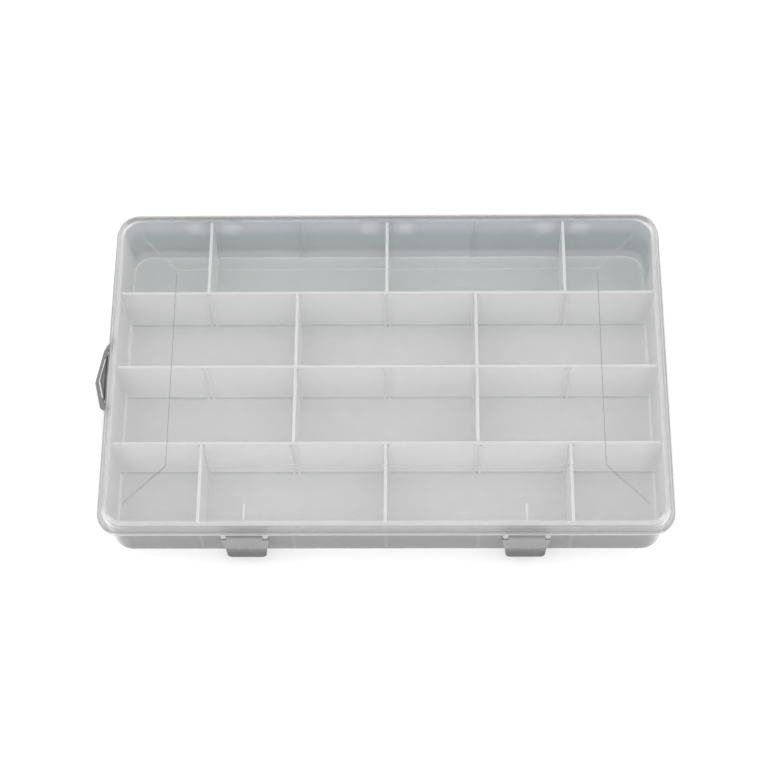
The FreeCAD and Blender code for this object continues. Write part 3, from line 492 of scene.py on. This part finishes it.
def hanger_shade(tree, where, amount, colour):
    """Dark beside the groove, a painted highlight along it, and lighter towards the axis."""
    x, y, z = tree.add("ShaderNodeSeparateXYZ", Vector=where).outputs
    out = tree.math("SUBTRACT", -HANGER_X, x)
    down = tree.math("SUBTRACT", HANGER_Z, z)
    reach = tree.product(tree.math("ADD", out, down), math.sqrt(0.5))
    height = tree.product(tree.math("SUBTRACT", out, down), math.sqrt(0.5))
    along = tree.math("MULTIPLY_ADD", tree.math("ABSOLUTE", y), HANGER_SLOPE, reach)
    colour = tree.mix(tree.ramp(along, *HANGER_INNER_SIDE), colour, HANGER_INNER)
    colour = tree.mix(tree.ramp(along, *HANGER_NEAR_SIDE), colour, HANGER_NEAR)
    # Painted highlight along the groove.
    groove = tree.product(tree.band(height, *GROOVE_HEIGHT), tree.band(along, *GROOVE_ALONG))
    return amount, tree.mix(groove, colour, HIGHLIGHT)


def lid_shade(tree, where, amount, colour):
    """The skirt and lip are denser than the top.  Painted light lies on the front lip, the rim and
    the ribs, and painted shade on the skirt and most of the creases.
    """
    x, y, z = tree.add("ShaderNodeSeparateXYZ", Vector=where).outputs
    across = tree.math("ABSOLUTE", x)
    deep = tree.math("ABSOLUTE", y)
    amount, colour = lid_rim(tree, across, deep, y, amount, colour)
    # Painted light on the front lip.
    lip = tree.product(tree.ramp(y, *LIP_FRONT), tree.ramp(z, *LIP_HEIGHT))
    colour = tree.mix(lip, colour, FRONT_LIP_LIGHT)
    # A painted highlight along the latch ribs.
    rib_highlight = tree.product(tree.band(across, LATCH_X - LATCH_RIB, LATCH_X + LATCH_RIB, RIB_SOFT),
                       tree.band(y, *LATCH_RIB_Y, RIB_SOFT))
    amount = tree.denser(amount, rib_highlight, RIB_HAZE)
    colour = tree.mix(rib_highlight, colour, HIGHLIGHT)
    return lid_creases(tree, across, deep, y, amount, colour)


def lid_rim(tree, across, deep, y, amount, colour):
    """The lid's rounded edge: a painted highlight ring inside, painted shade on the skirt round it,
    paler at the sides and back, and a dark painted shade on the round behind.
    """
    rim = rim_distance(tree, across, deep)
    behind = tree.ramp(y, *LID_BACK)
    # Painted highlight along the rounded edge.
    pale = tree.product(tree.ramp(rim, *PALE_RIM_OUTER), tree.ramp(rim, *PALE_RIM_INNER),
                        tree.math("SUBTRACT", 1.0, behind))
    colour = tree.mix(pale, colour, HIGHLIGHT)
    amount = tree.denser(amount, pale, PALE_RIM_HAZE)
    to_side = tree.ramp(across, *LID_SIDE)
    full = tree.math("MULTIPLY_ADD", to_side, SIDE_SKIRT_EXTRA, SKIRT_FULL)
    # Painted shade on the skirt.
    skirt = tree.ramp(rim, SKIRT_BEGINS, full)
    around = tree.mix(to_side, SKIRT_SHADE, SIDE_SKIRT_SHADE)
    colour = tree.mix(skirt, colour, tree.mix(behind, around, BACK_SKIRT_SHADE))
    # Painted shade on the round behind.
    back = tree.product(behind, tree.band(rim, *BACK_ROUND_BAND))
    colour = tree.mix(back, colour, BACK_ROUND_SHADE)
    dense = tree.math("MAXIMUM", skirt, tree.product(back, BACK_ROUND_SHARE))
    return tree.denser(amount, dense, SKIRT_HAZE), colour


def crease_line(tree, given, place):
    """1 along a thin line."""
    return tree.band(given, place - CREASE_HALF, place + CREASE_HALF, CREASE_SOFT)


def lid_creases(tree, across, deep, y, amount, colour):
    """Painted shade along fine lines round the lid's middle and out to its corners, and painted
    highlights on them at the back.
    """
    begins, full = CREASE_STOP
    side = tree.product(crease_line(tree, across, CREASE_X),
                        tree.ramp(deep, CREASE_Y + begins, CREASE_Y + full))
    end = tree.product(crease_line(tree, deep, CREASE_Y),
                       tree.ramp(across, CREASE_X + begins, CREASE_X + full))
    past = tree.math("SUBTRACT", across, CREASE_X)
    slant = tree.math("SUBTRACT", tree.product(past, MITRE_SLOPE),
                      tree.math("SUBTRACT", deep, CREASE_Y))
    mitre = tree.product(tree.band(slant, -MITRE_HALF, MITRE_HALF, MITRE_SOFT),
                         tree.band(past, 0.0, MITRE_REACH, MITRE_END_SOFT))
    rear = tree.ramp(y, *CREASE_REAR)
    # Painted highlights on the rear creases; painted shade along the rest.
    light = tree.product(tree.math("MAXIMUM", mitre, end), rear)
    crease_shade = tree.math("MAXIMUM", mitre, side)
    crease_shade = tree.math("MAXIMUM", crease_shade, tree.product(end, END_CREASE_SHARE))
    crease_shade = tree.product(crease_shade, tree.math("SUBTRACT", 1.0, rear))
    colour = tree.mix(crease_shade, colour, CREASE_SHADE)
    colour = tree.mix(light, colour, HIGHLIGHT)
    amount = tree.denser(amount, light, LIGHT_CREASE_HAZE)
    return tree.denser(amount, crease_shade, CREASE_HAZE), colour


def dress(node, material):
    """Give a CAD node its material."""
    mesh = frame["nodes"][node].data
    mesh.materials.clear()
    mesh.materials.append(material)


def camera():
    """The photograph's viewing angle."""
    right = Vector((math.cos(YAW), math.sin(YAW), 0))
    level = Vector((-math.sin(YAW), math.cos(YAW), 0))
    ahead = level * math.cos(ELEVATION) - Vector((0, 0, math.sin(ELEVATION)))
    above = level * math.sin(ELEVATION) + Vector((0, 0, math.cos(ELEVATION)))
    side = right * math.cos(ROLL) + above * math.sin(ROLL)
    top = above * math.cos(ROLL) - right * math.sin(ROLL)
    data = bpy.data.cameras.new("camera")
    data.lens = LENS
    data.sensor_width = SENSOR
    data.clip_start = 0.01
    obj = bpy.data.objects.new("camera", data)
    scene.collection.objects.link(obj)
    matrix = obj.matrix_world.copy()
    for row in range(3):
        matrix[row][0] = side[row]
        matrix[row][1] = top[row]
        matrix[row][2] = -ahead[row]
        matrix[row][3] = (TARGET - ahead * DISTANCE)[row]
    obj.matrix_world = matrix
    scene.camera = obj


def sky():
    """Even white light, brighter from the front and weaker in reflections."""
    world = bpy.data.worlds.new("studio")
    scene.world = world
    world.use_nodes = True
    tree = Tree(world.node_tree)
    mirrored = tree.add("ShaderNodeLightPath").outputs["Is Glossy Ray"]
    away = tree.add("ShaderNodeTexCoord").outputs["Generated"]
    back = tree.add("ShaderNodeSeparateXYZ", Vector=away).outputs[1]
    strength = tree.math("MULTIPLY_ADD", back, SKY_TOWARDS_BACK, SKY)
    strength = tree.product(strength, tree.ramp(mirrored, 0.0, 1.0, 1.0, SKY_IN_MIRRORS))
    backdrop = tree.add("ShaderNodeBackground", Color=grey(1.0), Strength=strength)
    tree.add("ShaderNodeOutputWorld", Surface=backdrop.outputs[0])


def stage():
    """A wide pale floor."""
    mesh = bpy.data.meshes.new("floor")
    corners = [(-STAGE_REACH, -STAGE_REACH, 0), (STAGE_REACH, -STAGE_REACH, 0),
               (STAGE_REACH, STAGE_REACH, 0), (-STAGE_REACH, STAGE_REACH, 0)]
    mesh.from_pydata(corners, [], [(0, 1, 2, 3)])
    floor = bpy.data.objects.new("floor", mesh)
    floor.location.z = -STAGE_DROP
    scene.collection.objects.link(floor)
    material = bpy.data.materials.new("floor")
    material.use_nodes = True
    shader = material.node_tree.nodes["Principled BSDF"]
    shader.inputs["Base Color"].default_value = STAGE_COLOUR
    shader.inputs["Roughness"].default_value = STAGE_ROUGHNESS
    shader.inputs["Specular IOR Level"].default_value = STAGE_SPECULAR
    shader.inputs["Emission Color"].default_value = grey(1.0)
    shader.inputs["Emission Strength"].default_value = STAGE_GLOW
    mesh.materials.append(material)


PLASTICS = {
    "tray_plastic": plastic("tray", tint=TRAY, edge_highlight_and_shade=HIGHLIGHT, through=TRAY_CLEAR, haze=0.28,
                            edge_haze=0.30, side_haze=0.10, rough=0.30, shade=tray_shade),
    "lid_plastic": plastic("lid", tint=LID, edge_highlight_and_shade=HIGHLIGHT, through=CLEAR, haze=0.07,
                           edge_haze=0.08, side_haze=0.20, rough=0.16, shade=lid_shade),
    "divider_plastic": plastic("divider", tint=DIVIDER, edge_highlight_and_shade=HIGHLIGHT, through=CLEAR,
                               haze=0.34, edge_haze=0.4, side_haze=0.30, rough=0.30,
                               shade=divider_shade),
    "latch_plastic": plastic("latch", tint=LATCH, edge_highlight_and_shade=LATCH_EDGE_HIGHLIGHT, through=CLEAR,
                             haze=0.60, edge_haze=0.3, side_haze=0.1, rough=0.28,
                             shade=latch_shade),
    "hanger_plastic": plastic("hanger", tint=HANGER, edge_highlight_and_shade=HANGER_EDGE_SHADE, through=CLEAR,
                              haze=0.85, edge_haze=0.1, side_haze=0.1, rough=0.28,
                              shade=hanger_shade),
    "pin_plastic": plastic("pin", tint=PIN, edge_highlight_and_shade=HIGHLIGHT, through=CLEAR, haze=0.5,
                           edge_haze=0.3, side_haze=0.2, rough=0.35),
}
for entry in frame["record"]["subparts"]:
    dress(entry["node"], PLASTICS[entry["material_slot"]])

camera()
sky()
stage()
